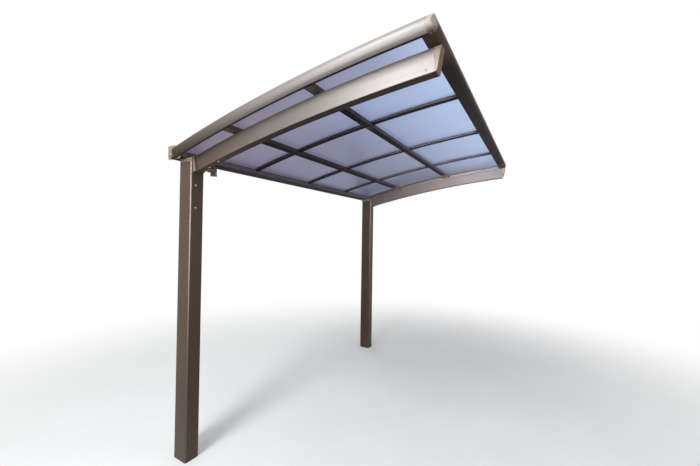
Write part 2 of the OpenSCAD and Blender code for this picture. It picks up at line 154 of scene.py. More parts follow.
class Shader:
    """A material under construction: adds nodes and joins their sockets."""

    def __init__(self, name):
        self.material = bpy.data.materials.new(name)
        self.material.use_nodes = True
        self.tree = self.material.node_tree
        self.tree.nodes.clear()
        self.coords = self.add("ShaderNodeTexCoord").outputs["Object"]

    def add(self, kind, inputs=None, **settings):
        made = self.tree.nodes.new(kind)
        for key, value in settings.items():
            setattr(made, key, value)
        for key, value in (inputs or {}).items():
            if isinstance(value, bpy.types.NodeSocket):
                self.tree.links.new(value, made.inputs[key])
            else:
                made.inputs[key].default_value = value
        return made

    def math(self, operation, a, b=0.0, clamp=False):
        return self.add("ShaderNodeMath", {0: a, 1: b}, operation=operation,
                        use_clamp=clamp).outputs[0]

    def times(self, a, b):
        return self.math("MULTIPLY", a, b)

    def plus(self, a, b, clamp=False):
        return self.math("ADD", a, b, clamp)

    def split(self, vector):
        return self.add("ShaderNodeSeparateXYZ", {0: vector}).outputs

    def join(self, x, y, z):
        return self.add("ShaderNodeCombineXYZ", {0: x, 1: y, 2: z}).outputs[0]

    def stretch(self, vector, x, y, z):
        return self.add("ShaderNodeVectorMath", {0: vector, 1: (x, y, z)},
                        operation="MULTIPLY").outputs[0]

    def noise(self, vector, scale, detail=2.0, rough=0.5):
        return self.add("ShaderNodeTexNoise", {"Vector": vector, "Scale": scale,
                        "Detail": detail, "Roughness": rough}).outputs["Fac"]

    def spread(self, value, low, high, to_low=0.0, to_high=1.0):
        return self.add("ShaderNodeMapRange", {0: value, 1: low, 2: high,
                        3: to_low, 4: to_high}).outputs[0]

    def blend(self, factor, a, b):
        made = self.add("ShaderNodeMix", data_type="RGBA", blend_type="MIX")
        for index, value in ((0, factor), (6, a), (7, b)):
            if isinstance(value, bpy.types.NodeSocket):
                self.tree.links.new(value, made.inputs[index])
            else:
                made.inputs[index].default_value = value
        return made.outputs[2]

    def bump(self, height, distance, strength=1.0, normal=None):
        inputs = {"Height": height, "Distance": distance, "Strength": strength}
        if normal is not None:
            inputs["Normal"] = normal
        return self.add("ShaderNodeBump", inputs).outputs[0]

    def soft_edges(self, radius):
        return self.add("ShaderNodeBevel", {"Radius": radius}, samples=4).outputs[0]

    def finish(self, **sockets):
        names = {key.replace("_", " "): value for key, value in sockets.items()}
        surface = self.add("ShaderNodeBsdfPrincipled", names).outputs[0]
        self.add("ShaderNodeOutputMaterial", {"Surface": surface})
        return self.material


# Finishes.

LYING = (0.35, 0.95)          # z of the normal: dust starts and is full
SHADE_METALLIC = 0.95          # on the undersides and at the wall end, so that only the dark tone painted there as shade shows
BELOW_ROUGHER = 0.30
EDGE_RADIUS = 0.0012


def arch_coords(s):
    """Coordinates that follow the arch: level, place along the wall, run along the arch."""
    x, y, z = s.split(s.coords)
    out = s.math("SUBTRACT", x, ARCH_X)
    up = s.math("SUBTRACT", z, ARCH_Z)
    level = s.math("SQRT", s.plus(s.times(out, out), s.times(up, up)))
    return s.join(level, y, x)


def drawn_lines(s, run):
    """Die lines of an extrusion: noise that is fine across it and long along it."""
    along, across = 1.2, 520.0
    if run == "arch":
        return s.noise(s.stretch(arch_coords(s), across, across, along), 1.0, 3.0, 0.6)
    sizes = {"y": (across, along, across), "z": (across, across, along)}[run]
    return s.noise(s.stretch(s.coords, *sizes), 1.0, 3.0, 0.6)


def roof_ends(s):
    """1 over the beams and past them along the wall, 0 between them."""
    y = s.split(s.coords)[1]
    off = s.math("ABSOLUTE", s.math("SUBTRACT", y, MIDDLE_Y))
    return s.spread(off, MIDDLE_Y - 0.20, MIDDLE_Y - 0.10)


def painted_wall_shade(s):
    """Mask of the painted shade at the wall end: 1 at the wall end of the near half, 0 away
    from it.
    """
    x, y, _ = s.split(s.coords)
    return s.times(s.spread(x, -0.05, 0.75, 1.0, 0.0), s.spread(y, 0.40, 2.20, 1.0, 0.0))


def rain_streaks(s, run):
    """Faint stains that run along the piece."""
    if run == "z":
        vector = s.stretch(s.coords, 38.0, 38.0, 1.6)
    else:
        vector = s.stretch(arch_coords(s), 60.0, 7.0, 2.2)
    return s.times(s.spread(s.noise(vector, 1.0, 4.0, 0.6), 0.52, 0.72), 0.16)


def lying_dust(s, up):
    """Patchy dust on what faces the sky."""
    patchy = s.spread(s.noise(s.coords, 17.0, 5.0), 0.3, 0.7, 0.25, 0.60)
    return s.times(s.spread(up, *LYING), patchy)


def painted_corner_highlights(s, normal):
    """Painted highlights along a post's rounded corners, which fade towards the ground."""
    nx, ny, _ = s.split(normal)
    corner = s.math("MINIMUM", s.math("ABSOLUTE", nx), s.math("ABSOLUTE", ny))
    patchy = s.spread(s.noise(s.coords, 90.0, 4.0, 0.7), 0.30, 0.60, 0.55, 0.95)
    higher = s.spread(s.split(s.coords)[2], 0.70, 1.75, 0.15, 1.0)
    return s.times(s.times(s.spread(corner, 0.25, 0.60), patchy), higher)


def mud_splash(s):
    """Splashes that thin out upwards from the ground."""
    low = s.spread(s.split(s.coords)[2], 0.02, 0.34, 1.0, 0.0)
    spots = s.spread(s.noise(s.coords, 55.0, 6.0, 0.7), 0.42, 0.66, 0.05, 0.50)
    return s.times(low, spots)


def edges_worn_and_highlit(s, rounded, normal, flake):
    """Pale edges, partly wear and partly a painted highlight: where the rounded normal leaves
    the flat one, which is at an edge.
    """
    same = s.add("ShaderNodeVectorMath", {0: rounded, 1: normal},
                 operation="DOT_PRODUCT").outputs["Value"]
    return s.times(s.spread(same, 0.995, 0.90), s.spread(flake, 0.35, 0.6))


def anodised(name, colour, under, run, shine=0.44, metallic=0.30, level=0.5, ior=1.5,
             turn=(-0.25, -0.85), wear_and_highlight=0.35, end_tone=None, wall_shade_tone=None, mud_and_highlights=False):
    """Bronze anodised aluminium: die lines, dust on top, and a dark tone painted on the
    undersides as shade.

    colour and under are the tones of the sides and of the undersides, the latter painted
    shade, run is the way that the die lines go (y, z or arch), shine the roughness of the
    sides, turn the normal's z where the painted underside shade starts and is full,
    wear_and_highlight how pale the edges are from wear and a painted highlight, end_tone
    the tone over the beams and past them, wall_shade_tone the tone of the painted shade at
    the near half's wall end, and mud_and_highlights gives a post its painted corner
    highlights and its mud splashes.
    """
    s = Shader(name)
    lines = drawn_lines(s, run)
    flake = s.noise(s.coords, 1500.0, 2.0, 0.7)
    cloud = s.noise(s.coords, 3.1, 3.0, 0.55)
    normal = s.add("ShaderNodeNewGeometry").outputs["Normal"]
    rounded = s.soft_edges(EDGE_RADIUS)
    up = s.split(normal)[2]
    # below marks the undersides, where shade is painted
    below = s.spread(up, *turn)

    deep, light = scaled(colour, 0.86), scaled(colour, 1.10)
    tone = s.blend(s.spread(cloud, 0.3, 0.7), deep, light)
    tone = s.blend(s.spread(lines, 0.35, 0.65, 0.0, 0.25), tone, deep)
    tone = s.blend(s.spread(flake, 0.55, 0.75, 0.0, 0.25), tone, light)
    # painted shade: the undersides take the dark under tone, with a metallic that keeps
    # reflections off them
    tone = s.blend(below, tone, under)
    metal = s.spread(below, 0.0, 1.0, metallic, SHADE_METALLIC)
    if end_tone:
        tone = s.blend(roof_ends(s), tone, end_tone)
    # painted shade at the near half's wall end: its tone, and a metallic that keeps
    # reflections off
    if wall_shade_tone:
        shade_at_wall = painted_wall_shade(s)
        tone = s.blend(shade_at_wall, tone, wall_shade_tone)
        metal = s.math("MAXIMUM", metal,
                       s.spread(shade_at_wall, 0.0, 1.0, metallic, SHADE_METALLIC))

    stain = rain_streaks(s, run)
    tone = s.blend(stain, tone, STAIN_TONE)
    dust = lying_dust(s, up)
    tone = s.blend(dust, tone, DUST_TONE)
    # on a post: painted highlights on the rounded corners, then mud splashes
    if mud_and_highlights:
        tone = s.blend(painted_corner_highlights(s, normal), tone, CORNER_HIGHLIGHT_TONE)
        splash = mud_splash(s)
        tone = s.blend(splash, tone, MUD_TONE)
        dust = s.math("MAXIMUM", dust, splash)
    # pale edges: partly wear, partly a painted highlight, fainter on the undersides
    edge_wear_and_glint = s.times(edges_worn_and_highlit(s, rounded, normal, flake),
                   s.spread(below, 0.0, 1.0, wear_and_highlight, wear_and_highlight / 7))
    tone = s.blend(edge_wear_and_glint, tone, scaled(colour, 1.7))

    rough = s.plus(shine, s.times(s.math("SUBTRACT", lines, 0.5), 0.16))
    rough = s.plus(rough, s.times(s.plus(dust, stain), 0.32))
    rough = s.plus(rough, s.times(below, BELOW_ROUGHER), clamp=True)
    height = s.plus(s.times(lines, 0.7), s.times(flake, 0.3))
    return s.finish(Base_Color=tone, Metallic=metal, Roughness=rough,
                    Normal=s.bump(height, 0.00009, 0.55, rounded),
                    IOR=ior, Specular_IOR_Level=level)


def cast_metal(name, colour, under, metallic=0.25, level=0.5, turn=(-0.25, -0.85)):
    """Painted die-cast end piece: an even skin with a faint orange peel, and a dark tone
    painted on the undersides as shade.
    """
    s = Shader(name)
    peel = s.noise(s.coords, 420.0, 2.0, 0.5)
    cloud = s.noise(s.coords, 11.0, 4.0, 0.6)
    up = s.split(s.add("ShaderNodeNewGeometry").outputs["Normal"])[2]
    below = s.spread(up, *turn)
    speck = s.spread(s.noise(s.coords, 260.0, 3.0, 0.7), 0.66, 0.76)

    tone = s.blend(s.spread(cloud, 0.3, 0.7), scaled(colour, 0.88), scaled(colour, 1.10))
    tone = s.blend(s.times(speck, 0.35), tone, SPECK_TONE)
    # painted shade: the undersides take the dark under tone
    tone = s.blend(below, tone, under)
    tone = s.blend(s.times(s.spread(up, *LYING), 0.5), tone, DUST_TONE)
    rough = s.plus(0.44, s.times(cloud, 0.16))
    rough = s.plus(rough, s.times(below, BELOW_ROUGHER))
    return s.finish(Base_Color=tone, Roughness=rough,
                    Metallic=s.spread(below, 0.0, 1.0, metallic, SHADE_METALLIC),
                    Normal=s.bump(peel, 0.0001, 0.5, s.soft_edges(0.0015)),
                    Specular_IOR_Level=level)


def smoked_panel(name):
    """Matt smoke polycarbonate: painted light makes it lighter and bluer outwards and bluer to
    the far end; greyer over the beams.
    """
    s = Shader(name)
    x, y, _ = s.split(s.coords)
    film = s.noise(s.stretch(arch_coords(s), 4.0, 9.0, 1.1), 1.0, 5.0, 0.6)
    grain = s.noise(s.coords, 320.0, 3.0, 0.7)
    # painted light: the tone grows lighter and bluer outwards
    tone = PANEL_LIGHT_STOPS[0][1]
    for (start, _), (end, colour) in zip(PANEL_LIGHT_STOPS, PANEL_LIGHT_STOPS[1:]):
        tone = s.blend(s.spread(x, start, end), tone, colour)
    # painted light: bluer towards the far end
    far = s.times(s.spread(x, 0.60, 1.40, 1.0, 0.0), s.spread(y, 0.60, 2.50, 0.0, 0.60))
    tone = s.blend(far, tone, PANEL_FAR_LIGHT)
    edge = s.times(roof_ends(s), s.spread(x, 1.45, 1.70, 0.40, 0.0))
    tone = s.blend(edge, tone, PANEL_EDGE_TONE)
    tone = s.blend(s.spread(film, 0.35, 0.70, 0.0, 0.10), tone, PANEL_FILM_TONE)
    tone = s.blend(s.spread(grain, 0.58, 0.74, 0.0, 0.08), tone, PANEL_GRAIN_TONE)
    return s.finish(Base_Color=tone, Roughness=s.spread(film, 0.3, 0.7, 0.30, 0.42),
                    Normal=s.bump(s.noise(s.coords, 14.0, 2.0), 0.0006, 0.35),
                    IOR=1.30, Transmission_Weight=1.0, Specular_IOR_Level=0.25)


def rain_pipe(name):
    """Grey-brown rigid plastic, slightly chalked and finely speckled."""
    s = Shader(name)
    chalk = s.noise(s.coords, 24.0, 5.0, 0.6)
    fine = s.noise(s.coords, 700.0, 2.0, 0.5)
    tone = s.blend(s.spread(chalk, 0.35, 0.7), *PIPE_TONES)
    tone = s.blend(s.spread(fine, 0.6, 0.72, 0.0, 0.25), tone, PIPE_SPECK_TONE)
    return s.finish(Base_Color=tone, Roughness=s.spread(chalk, 0.3, 0.7, 0.34, 0.55),
                    Normal=s.bump(fine, 0.00006, 0.5, s.soft_edges(0.0008)))


def steel(name, colour=STEEL_TONE, metallic=0.85):
    """Plated or stainless fixing with a brushed face and small dull spots."""
    s = Shader(name)
    brush = s.noise(s.stretch(s.coords, 900.0, 140.0, 900.0), 1.0, 3.0, 0.6)
    spot = s.spread(s.noise(s.coords, 620.0, 3.0, 0.7), 0.58, 0.72)
    tone = s.blend(s.spread(brush, 0.3, 0.7), scaled(colour, 0.78), colour)
    tone = s.blend(s.times(spot, 0.4), tone, TARNISH_TONE)
    return s.finish(Base_Color=tone, Metallic=metallic,
                    Roughness=s.plus(0.24, s.times(spot, 0.30)),
                    Normal=s.bump(brush, 0.00005, 0.5))


def rubber(name):
    """Black seal with a matt, dusty skin."""
    s = Shader(name)
    skin = s.noise(s.coords, 480.0, 3.0, 0.6)
    dust = s.spread(s.noise(s.coords, 22.0, 4.0, 0.6), 0.45, 0.75, 0.0, 0.5)
    return s.finish(Base_Color=s.blend(dust, RUBBER_TONE, RUBBER_DUST_TONE),
                    Roughness=s.spread(skin, 0.3, 0.7, 0.62, 0.84),
                    Normal=s.bump(skin, 0.0001, 0.6))


# Mesh helpers.

def piece(name, verts, faces, material, slot):
    """A new piece of the object, in the part's frame, riding on its only body."""
    mesh = bpy.data.meshes.new(name)
    mesh.from_pydata([tuple(v) for v in verts], [], faces)
    mesh.validate()
    mesh.materials.append(material)
    made = bpy.data.objects.new(name, mesh)
    bpy.context.scene.collection.objects.link(made)
    mesh.shade_smooth()
    for edge, hard in zip(mesh.edges, hard_edges(mesh)):
        edge.use_edge_sharp = hard
    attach(made, "root")


def hard_edges(mesh, limit=math.radians(38)):
    """For each edge, whether its two faces meet at more than the limit."""
    sides = {}
    for face in mesh.polygons:
        for key in face.edge_keys:
            sides.setdefault(key, []).append(face.normal)
    return [len(sides.get(e.key, [])) != 2 or
            sides[e.key][0].angle(sides[e.key][1], 0.0) > limit for e in mesh.edges]


def merge(parts):
    """Several (verts, faces) pairs as one."""
    verts, faces = [], []
    for more_verts, more_faces in parts:
        start = len(verts)
        verts.extend(more_verts)
        faces.extend(tuple(i + start for i in face) for face in more_faces)
    return verts, faces


def skin(rings, closed=False):
    """Faces over rings of equal length; closed also joins the last ring to the first."""
    count = len(rings[0])
    verts = [v for points in rings for v in points]
    faces = []
    for r in range(len(rings) if closed else len(rings) - 1):
        this, after = r * count, (r + 1) % len(rings) * count
        for i in range(count):
            j = (i + 1) % count
            faces.append((this + i, this + j, after + j, after + i))
    return verts, faces


def stacked_rings(rings):
    """A skin over rings of equal length, with both ends capped."""
    verts, faces = skin(rings)
    count = len(rings[0])
    faces.append(tuple(reversed(range(count))))
    faces.append(tuple(range(len(verts) - count, len(verts))))
    return verts, faces


def placed(shape, point, normal, turn=0.0):
    """A shape built on the XY plane, moved so that it stands on a point along a normal."""
    verts, faces = shape
    matrix = (Matrix.Translation(point) @ normal.to_track_quat("Z", "Y").to_matrix().to_4x4()
              @ Matrix.Rotation(turn, 4, "Z"))
    return [matrix @ Vector(v) for v in verts], faces


def ring(radius, height, count=32, outline=None):
    """A ring of points; outline scales the radius by the angle."""
    points = []
    for i in range(count):
        angle = 2 * math.pi * i / count
        r = radius * (outline(angle) if outline else 1.0)
        points.append((r * math.cos(angle), r * math.sin(angle), height))
    return points


def hexagon(angle):
    """Radius of a hexagon with corners at radius 1, by the angle."""
    step = math.pi / 3
    return math.cos(step / 2) / math.cos((angle % step) - step / 2)


def cross(angle):
    """Radius of a four-armed screwdriver recess, by the angle."""
    near = abs(((angle + math.pi / 4) % (math.pi / 2)) - math.pi / 4)
    return 1.0 if near < 0.25 else 0.36


def pan_head(radius, height, recess=cross, recess_size=0.55):
    """A domed screw head with a driver recess."""
    dome = [(1.0, 0.0), (1.0, 0.28), (0.97, 0.48), (0.88, 0.72), (0.74, 0.90), (0.62, 0.97)]
    rings = [ring(radius * r, height * h) for r, h in dome]
    socket = radius * recess_size
    rings.append(ring(socket, height, outline=recess))
    rings.append(ring(socket * 0.9, height * 0.35, outline=recess))
    return stacked_rings(rings)


def hex_head(radius, height):
    """A hexagon head with a chamfered top."""
    rings = [ring(radius, 0.0, 36, hexagon), ring(radius, height * 0.82, 36, hexagon),
             ring(radius * 0.80, height, 36)]
    return stacked_rings(rings)


def washer(radius, thick):
    """A washer with a bevelled rim."""
    return stacked_rings([ring(radius, 0.0), ring(radius, thick * 0.7),
                          ring(radius * 0.93, thick), ring(radius * 0.5, thick)])


def arch_point(x, level, y):
    """The point on the arch above x, at a level over the beams' underside."""
    angle = math.asin((ARCH_X - x) / (ARCH_RADIUS + level))
    return Vector((x, y, ARCH_Z + (ARCH_RADIUS + level) * math.cos(angle)))


def arch_normal(x, level):
    """Outward normal of the arch above x."""
    angle = math.asin((ARCH_X - x) / (ARCH_RADIUS + level))
    return Vector((-math.sin(angle), 0.0, math.cos(angle)))


HALF_ROUND = ((-1.0, 0.0), (-0.92, 0.55), (-0.5, 0.93), (0.0, 1.0), (0.5, 0.93),
              (0.92, 0.55), (1.0, 0.0))


def arch_strip(x0, x1, y, level, half_width, height, steps=72):
    """A half-round strip along the arch, flat on the level; it hangs if height is negative."""
    rings = []
    for i in range(steps + 1):
        x = x0 + (x1 - x0) * i / steps
        normal = arch_normal(x, level)
        base = arch_point(x, level, y)
        rings.append([base + Vector((0, a * half_width, 0)) + normal * (b * height)
                      for a, b in HALF_ROUND])
    return stacked_rings(rings)


def wall_strip(x, level, y0, y1, half_width, height):
    """The same strip along the wall, on the arch's level at x."""
    normal = arch_normal(x, level)
    along = Vector((normal.z, 0.0, -normal.x))
    rings = []
    for y in (y0, y1):
        base = arch_point(x, level, y)
        rings.append([base + along * (a * half_width) + normal * (b * height)
                      for a, b in HALF_ROUND])
    return stacked_rings(rings)


def touch(node, origin, direction):
    """Point and outward normal where a ray from origin first meets a CAD node."""
    hit, point, normal, _ = NODES[node].ray_cast(Vector(origin), Vector(direction))
    if not hit:
        raise ValueError(f"no surface of {node} in that direction")
    return point, normal


# Finishes on nodes.

metal_z = anodised("metal_upright", BRONZE, BRONZE_UNDER_SHADE, "z", metallic=0.25, level=0.40,
                   mud_and_highlights=True)
metal_arch = anodised("metal_arch", BRONZE_GLOSS, BRONZE_UNDER_SHADE, "arch", shine=0.42,
                      level=1.0, ior=1.75, wall_shade_tone=BEAM_WALL_SHADE)
side_metal = anodised("metal_side", BRONZE_GLOSS, BRONZE_UNDER_SHADE, "arch", shine=0.475,
                      level=1.0, ior=1.90, turn=(-0.85, -0.99), wall_shade_tone=SIDE_WALL_SHADE)
# the front frame's painted underside shade starts on faces that still tilt up
front_metal = anodised("metal_front", FRONT_TONE, FRONT_UNDER_SHADE, "y", shine=0.55,
                       metallic=0.15, level=0.25, turn=(0.20, -0.35),
                       end_tone=FRONT_ENDS)
gutter_metal = anodised("metal_gutter", GUTTER_TONE, INNER_UNDER_SHADE, "y", shine=0.62,
                        metallic=0.1, level=0.1)
inner_arch = anodised("metal_inner_arch", INNER_TONE, INNER_UNDER_SHADE, "arch", shine=0.55,
                      metallic=0.1, level=0.15, turn=(0.10, -0.70), wear_and_highlight=0.08)
inner_y = anodised("metal_inner_along", INNER_TONE, INNER_UNDER_SHADE, "y", shine=0.55,
                   metallic=0.1, level=0.15, wear_and_highlight=0.12, end_tone=PURLIN_ENDS)
caps = cast_metal("cap_paint", CAP_TONE, CAP_UNDER_SHADE, metallic=0.3, level=0.12,
                  turn=(0.02, -0.25))
corners = cast_metal("corner_paint", CORNER_TONE, CAP_UNDER_SHADE, metallic=0.35, level=0.7)
plates = cast_metal("plate_paint", PLATE_TONE, PLATE_UNDER_SHADE, metallic=0.3, level=0.3)
bracket = cast_metal("bracket_paint", BRACKET_TONE, INNER_UNDER_SHADE, metallic=0.1, level=0.2)
panel = smoked_panel("panel_smoke")
pipe = rain_pipe("pipe_plastic")
bright = steel("fixing_steel")
dark_fixing = steel("fixing_bronze", BRONZE_STEEL_TONE, 0.6)
post_fixing = steel("fixing_dull", DULL_STEEL_TONE, 0.5)
seal = rubber("seal_rubber")

FINISHES = {
    metal_z: ("near_post", "far_post"),
    caps: ("near_post_cap", "far_post_cap", "near_beam_end", "far_beam_end",
           "near_beam_collar", "far_beam_collar"),
    corners: ("near_front_corner", "far_front_corner"),
    plates: ("near_rear_corner", "far_rear_corner"),
    bracket: ("near_joint_bracket", "far_joint_bracket", "purlin_cleats"),
    metal_arch: ("near_beam", "far_beam",
                 "near_rafter_cover", "middle_rafter_cover", "far_rafter_cover"),
    side_metal: ("near_side_frame", "far_side_frame"),
    front_metal: ("front_frame",),
    gutter_metal: ("rear_rail", "gutter_floor", "gutter_back"),
    inner_arch: ("near_rafter", "middle_rafter", "far_rafter"),
    inner_y: ("inner_purlin", "outer_purlin"),
    panel: ("roof_panel_1", "roof_panel_2", "roof_panel_3", "roof_panel_4"),
    pipe: ("gutter_outlet", "drain_elbow", "downpipe", "pipe_clips"),
}


def dress_nodes():
    """Gives each CAD node its finish."""
    for material, names in FINISHES.items():
        for name in names:
            slots = NODES[name].data.materials
            slots.clear()
            slots.append(material)
    left = set(NODES) - {n for names in FINISHES.values() for n in names}
    if left:
        raise ValueError(f"nodes without a finish: {sorted(left)}")


# Fixings.

# Radius and height of each head, radius and thickness of each washer.
BOLT_HEAD, BOLT_WASHER = (0.0075, 0.0052), (0.0095, 0.0016)
COVER_SCREW, COVER_WASHER = (0.0048, 0.0030), (0.0072, 0.0012)
TIP_SCREW = (0.0050, 0.0024)
ARM_SCREW = (0.0058, 0.0030)
BRACKET_SCREW = (0.0048, 0.0030)
CROSSING_SCREW = (0.0042, 0.0022)
PLATE_SCREW = (0.0044, 0.0022)
FRONT_SCREW = (0.0040, 0.0020)
CLIP_SCREW = (0.0036, 0.0020)
SUNK = 0.0001                         # of a head into its washer

BOLT_Y = -0.010
BOLT_DROPS = (0.087, 0.242)           # below the beam's start on the post
TIP_X, TIP_Z = 1.687, 2.258
ARM_PLACES = ((0.299, -0.004), (0.190, 0.006))
PURLIN_STEP = 0.012                   # from the purlin's middle, both ways
COVER_ENDS = (0.075, 0.060)           # from the cover's ends to the first and last screw
COVER_COUNT = 6
PLATE_IN, PLATE_ENDS = 0.018, (0.024, 0.026)    # from the rear corner's back, foot and top
FRONT_IN, FRONT_OUT = 0.016, 0.008    # from the front corner's back, past the side's edge
CLIP_PARTS = (0.2, 0.55, 0.88)        # of the post's height
CLIP_HALF, CLIP_EAR = 0.010, 0.006

HALVES = (("near", -1), ("far", 1))   # each half's name and its way out along Y
OUTSIDE = 1.0                         # how far outside a ray along the wall starts
UNDER_ROOF = 1.0                      # the height where an upward ray starts
UP = (0, 0, 1)


def mirrored_y(y, out):
    """A place along the wall, given for the near half, on either half."""
    return y if out < 0 else POST_SPACING - y


def rafter_places():
    """Places along the wall of the three rafters, read off their covers."""
    return [sum((low.y, high.y)) / 2 for low, high in
            (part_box(f"{n}_rafter_cover") for n in ("near", "middle", "far"))]


def post_bolts():
    """Two domed bolts with washers on the outward face of each post."""
    heads, washers = [], []
    normal = Vector((1, 0, 0))
    for _, out in HALVES:
        for drop in BOLT_DROPS:
            point = Vector((POST_DEPTH / 2, mirrored_y(BOLT_Y, out),
                            POST_HEIGHT - BEAM_DROP - drop))
            washers.append(placed(washer(*BOLT_WASHER), point, normal))
            heads.append(placed(pan_head(*BOLT_HEAD, recess=hexagon, recess_size=0.42),
                                point + normal * (BOLT_WASHER[1] - SUNK), normal,
                                turn=drop * 9))
    piece("post_bolt_heads", *merge(heads), post_fixing, "bracket_metal")
    piece("post_bolt_washers", *merge(washers), dark_fixing, "bracket_metal")


def beam_screws():
    """Screws that hold the tip blocks and the joint arms."""
    tips, arms = [], []
    for half, out in HALVES:
        beam = half + "_beam"
        for face in (-1, 1):
            start = (TIP_X, mirrored_y(0.0, out) + face * OUTSIDE, TIP_Z)
            tips.append(placed(pan_head(*TIP_SCREW), *touch(beam, start, (0, -face, 0)),
                               turn=0.4))
        for x, y in ARM_PLACES:
            arms.append(placed(pan_head(*ARM_SCREW),
                               *touch(beam, (x, mirrored_y(y, out), UNDER_ROOF), UP),
                               turn=0.9))
    piece("beam_tip_screws", *merge(tips), dark_fixing, "bracket_metal")
    piece("joint_arm_screws", *merge(arms), bright, "bracket_metal")


def purlin_screws():
    """Screws in the brackets under the purlins and up into each rafter."""
    sides, crossings = [], []
    level = BEAM_DEPTH + CLEAT_HEIGHT / 2
    for purlin, x in zip(("inner_purlin", "outer_purlin"), PURLIN_XS):
        for step in (-PURLIN_STEP, PURLIN_STEP):
            for _, out in HALVES:
                for face in (-1, 1):
                    start = arch_point(x + step, level, mirrored_y(0.0, out) + face * OUTSIDE)
                    sides.append(placed(hex_head(*BRACKET_SCREW),
                                        *touch("purlin_cleats", start, (0, -face, 0)),
                                        turn=0.3))
            for y in rafter_places():
                start = (x + step / 2, y + step, UNDER_ROOF)
                crossings.append(placed(pan_head(*CROSSING_SCREW),
                                        *touch(purlin, start, UP), turn=0.6))
    piece("purlin_bracket_screws", *merge(sides), dark_fixing, "bracket_metal")
    piece("purlin_rafter_screws", *merge(crossings), dark_fixing, "bracket_metal")


def cover_screws():
    """Screws with sealing washers down the middle of each rafter cover."""
    low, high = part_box("middle_rafter_cover")
    first, last = low.x + COVER_ENDS[0], high.x - COVER_ENDS[1]
    heads, pads = [], []
    for y in rafter_places():
        for i in range(COVER_COUNT):
            x = first + (last - first) * i / (COVER_COUNT - 1)
            point, normal = arch_point(x, COVER_TOP, y), arch_normal(x, COVER_TOP)
            pads.append(placed(washer(*COVER_WASHER), point, normal))
            heads.append(placed(pan_head(*COVER_SCREW),
                                point + normal * (COVER_WASHER[1] - SUNK), normal,
                                turn=i * 0.7))
    piece("cover_screws", *merge(heads), bright, "bracket_metal")
    piece("cover_screw_washers", *merge(pads), seal, "bracket_metal")


def corner_screws():
    """Screws that hold the plates at the gutter's ends and the front corner caps."""
    heads = []
    for half, out in HALVES:
        rear, front = half + "_rear_corner", half + "_front_corner"
        low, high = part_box(rear)
        for z in (low.z + PLATE_ENDS[0], high.z - PLATE_ENDS[1]):
            start = (low.x + PLATE_IN, mirrored_y(-SIDE_REACH - OUTSIDE, out), z)
            heads.append(placed(pan_head(*PLATE_SCREW), *touch(rear, start, (0, -out, 0)),
                                turn=z * 7))
        low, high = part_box(front)
        start = (low.x + FRONT_IN, mirrored_y(-SIDE_REACH - FRONT_OUT, out), UNDER_ROOF)
        heads.append(placed(pan_head(*FRONT_SCREW), *touch(front, start, UP), turn=0.5))
    piece("corner_screws", *merge(heads), dark_fixing, "bracket_metal")


def clip_screws():
    """A screw on each pipe clip's ear."""
    heads = []
    for part in CLIP_PARTS:
        start = (POST_LOW.x - CLIP_EAR, -OUTSIDE, part * POST_HEIGHT + CLIP_HALF)
        heads.append(placed(pan_head(*CLIP_SCREW), *touch("pipe_clips", start, (0, 1, 0)),
                            turn=part))
    piece("clip_screws", *merge(heads), bright, "bracket_metal")


# Seals.

SEAL_HALF = 0.0016
SEAL_HIGH = 0.0018
RAFTER_LAP = 0.5                      # part of a seal's half width over flange or cover
FRAME_LAP = 0.8                       # part of it clear of the frame's edge
COVER_START, FLANGE_START = 0.004, 0.024        # from the cover's wall end
COVER_SHORT = 0.002                   # of the cover's outer end
PANEL_START, FRONT_SHORT = 0.002, 0.003
RAFTER_CLEAR = 0.001
TOP_FACE, LOW_FACE = (PANEL_LEVEL + PANEL_THICK, SEAL_HIGH), (PANEL_LEVEL, -SEAL_HIGH)


def roof_seals():
    """Black seals along the edges of the rafters' flanges and covers."""
    low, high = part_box("middle_rafter_cover")
    over, under = [], []
    for y in rafter_places():
        for side in (-1, 1):
            for strips, start, width, (level, height) in (
                    (over, COVER_START, COVER_WIDTH, TOP_FACE),
                    (under, FLANGE_START, RAFTER_WIDTH, LOW_FACE)):
                middle = y + side * (width / 2 + SEAL_HALF * RAFTER_LAP)
                strips.append(arch_strip(low.x + start, high.x - COVER_SHORT, middle,
                                         level, SEAL_HALF, height))
    piece("rafter_cover_seals", *merge(over), seal, "clear_panel")
    piece("rafter_flange_seals", *merge(under), seal, "clear_panel")


def edge_seals():
    """Seals where the panels enter the side frames and the front frame."""
    inner_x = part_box("middle_rafter")[1].x
    rear_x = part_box("roof_panel_1")[0].x + PANEL_START
    strips = []
    for _, out in HALVES:
        y = mirrored_y(-SIDE_REACH, out) - out * SEAL_HALF * FRAME_LAP
        for level, height in (TOP_FACE, LOW_FACE):
            strips.append(arch_strip(rear_x, inner_x - FRONT_SHORT, y, level, SEAL_HALF,
                                     height))
    edges = [-SIDE_REACH] + rafter_places() + [POST_SPACING + SIDE_REACH]
    clear = RAFTER_WIDTH / 2 + RAFTER_CLEAR
    for left, right in zip(edges, edges[1:]):
        for level, height in (TOP_FACE, LOW_FACE):
            strips.append(wall_strip(inner_x - SEAL_HALF, level, left + clear,
                                     right - clear, SEAL_HALF, height))
    piece("panel_edge_seals", *merge(strips), seal, "clear_panel")


def rounded_outline(depth, width, radius, steps=8):
    """Corner points of a rounded rectangle round the origin, counter-clockwise."""
    points = []
    corners = ((1, 1, 0.0), (-1, 1, 0.5), (-1, -1, 1.0), (1, -1, 1.5))
    for sx, sy, start in corners:
        cx, cy = sx * (depth / 2 - radius), sy * (width / 2 - radius)
        for i in range(steps + 1):
            angle = math.pi * (start + 0.5 * i / steps)
            points.append((cx + radius * math.cos(angle), cy + radius * math.sin(angle)))
    return points


